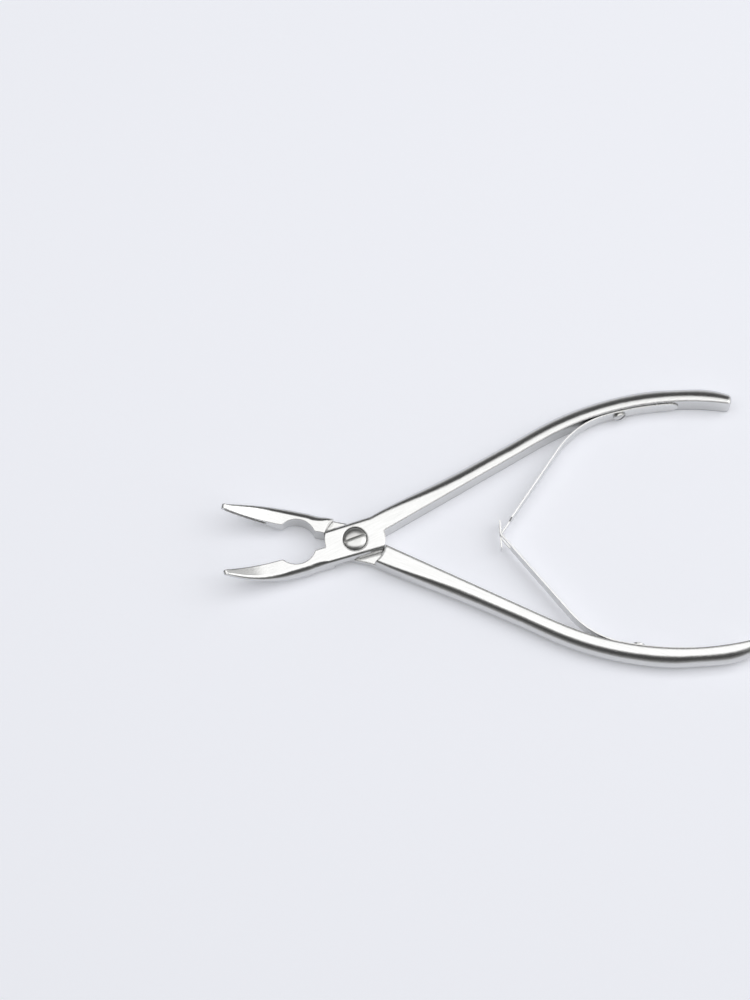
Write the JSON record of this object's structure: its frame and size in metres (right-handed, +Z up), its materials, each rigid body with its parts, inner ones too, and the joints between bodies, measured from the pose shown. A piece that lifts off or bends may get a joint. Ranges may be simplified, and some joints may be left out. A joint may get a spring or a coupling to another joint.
{
  "type": "bone rongeur",
  "caption": "Plier-type bone rongeur: two forged steel halves with cupped jaws, a screwed lap joint and curved handles, pushed open by a double leaf spring.",
  "frame": {"origin": "on the axis of the joint's screw, in the plane that the instrument lies on", "axes": "+X along the middle line towards the handle ends, -X to the jaw tips, +Z up along the screw's axis out of its slotted head"},
  "size_m": [0.1742, 0.098, 0.0136],
  "materials": {
    "forged_steel": "satin polish, brighter on the flat faces",
    "screw_steel": "turned and polished",
    "spring_steel": "rolled strip, lightly polished"
  },
  "bodies": {
    "body_a": {"half_a": "forged_steel", "spring_screw_a": "screw_steel"},
    "body_b": {"half_b": "forged_steel", "pivot_screw": "screw_steel", "spring_screw_b": "screw_steel"},
    "tongue_leaf": {"tongue_spring": "spring_steel"},
    "fork_leaf": {"fork_spring": "spring_steel"}
  },
  "joints": [
    {"name": "jaw_pivot", "type": "hinge", "parent": "body_a", "child": "body_b", "pos_m": [0, 0, 0], "axis": [0, 0, 1], "range_deg": [0, 28], "stiffness_Nm_per_rad": 2.5, "springref_deg": -8.59},
    {"name": "tongue_flex", "type": "hinge", "parent": "body_a", "child": "tongue_leaf", "pos_m": [0.07744, 0.03612, 0.00375], "axis": [0, 0, 1], "range_deg": [-16.9, 0], "deforming": ["tongue_spring"]},
    {"name": "fork_flex", "type": "hinge", "parent": "body_b", "child": "fork_leaf", "pos_m": [0.07744, -0.03612, 0.00375], "axis": [0, 0, 1], "range_deg": [0, 16.9], "deforming": ["fork_spring"]}
  ],
  "couplings": [
    {"joint": "tongue_flex", "follows": "jaw_pivot", "ratio": -0.602},
    {"joint": "fork_flex", "follows": "jaw_pivot", "ratio": 0.602}
  ]
}
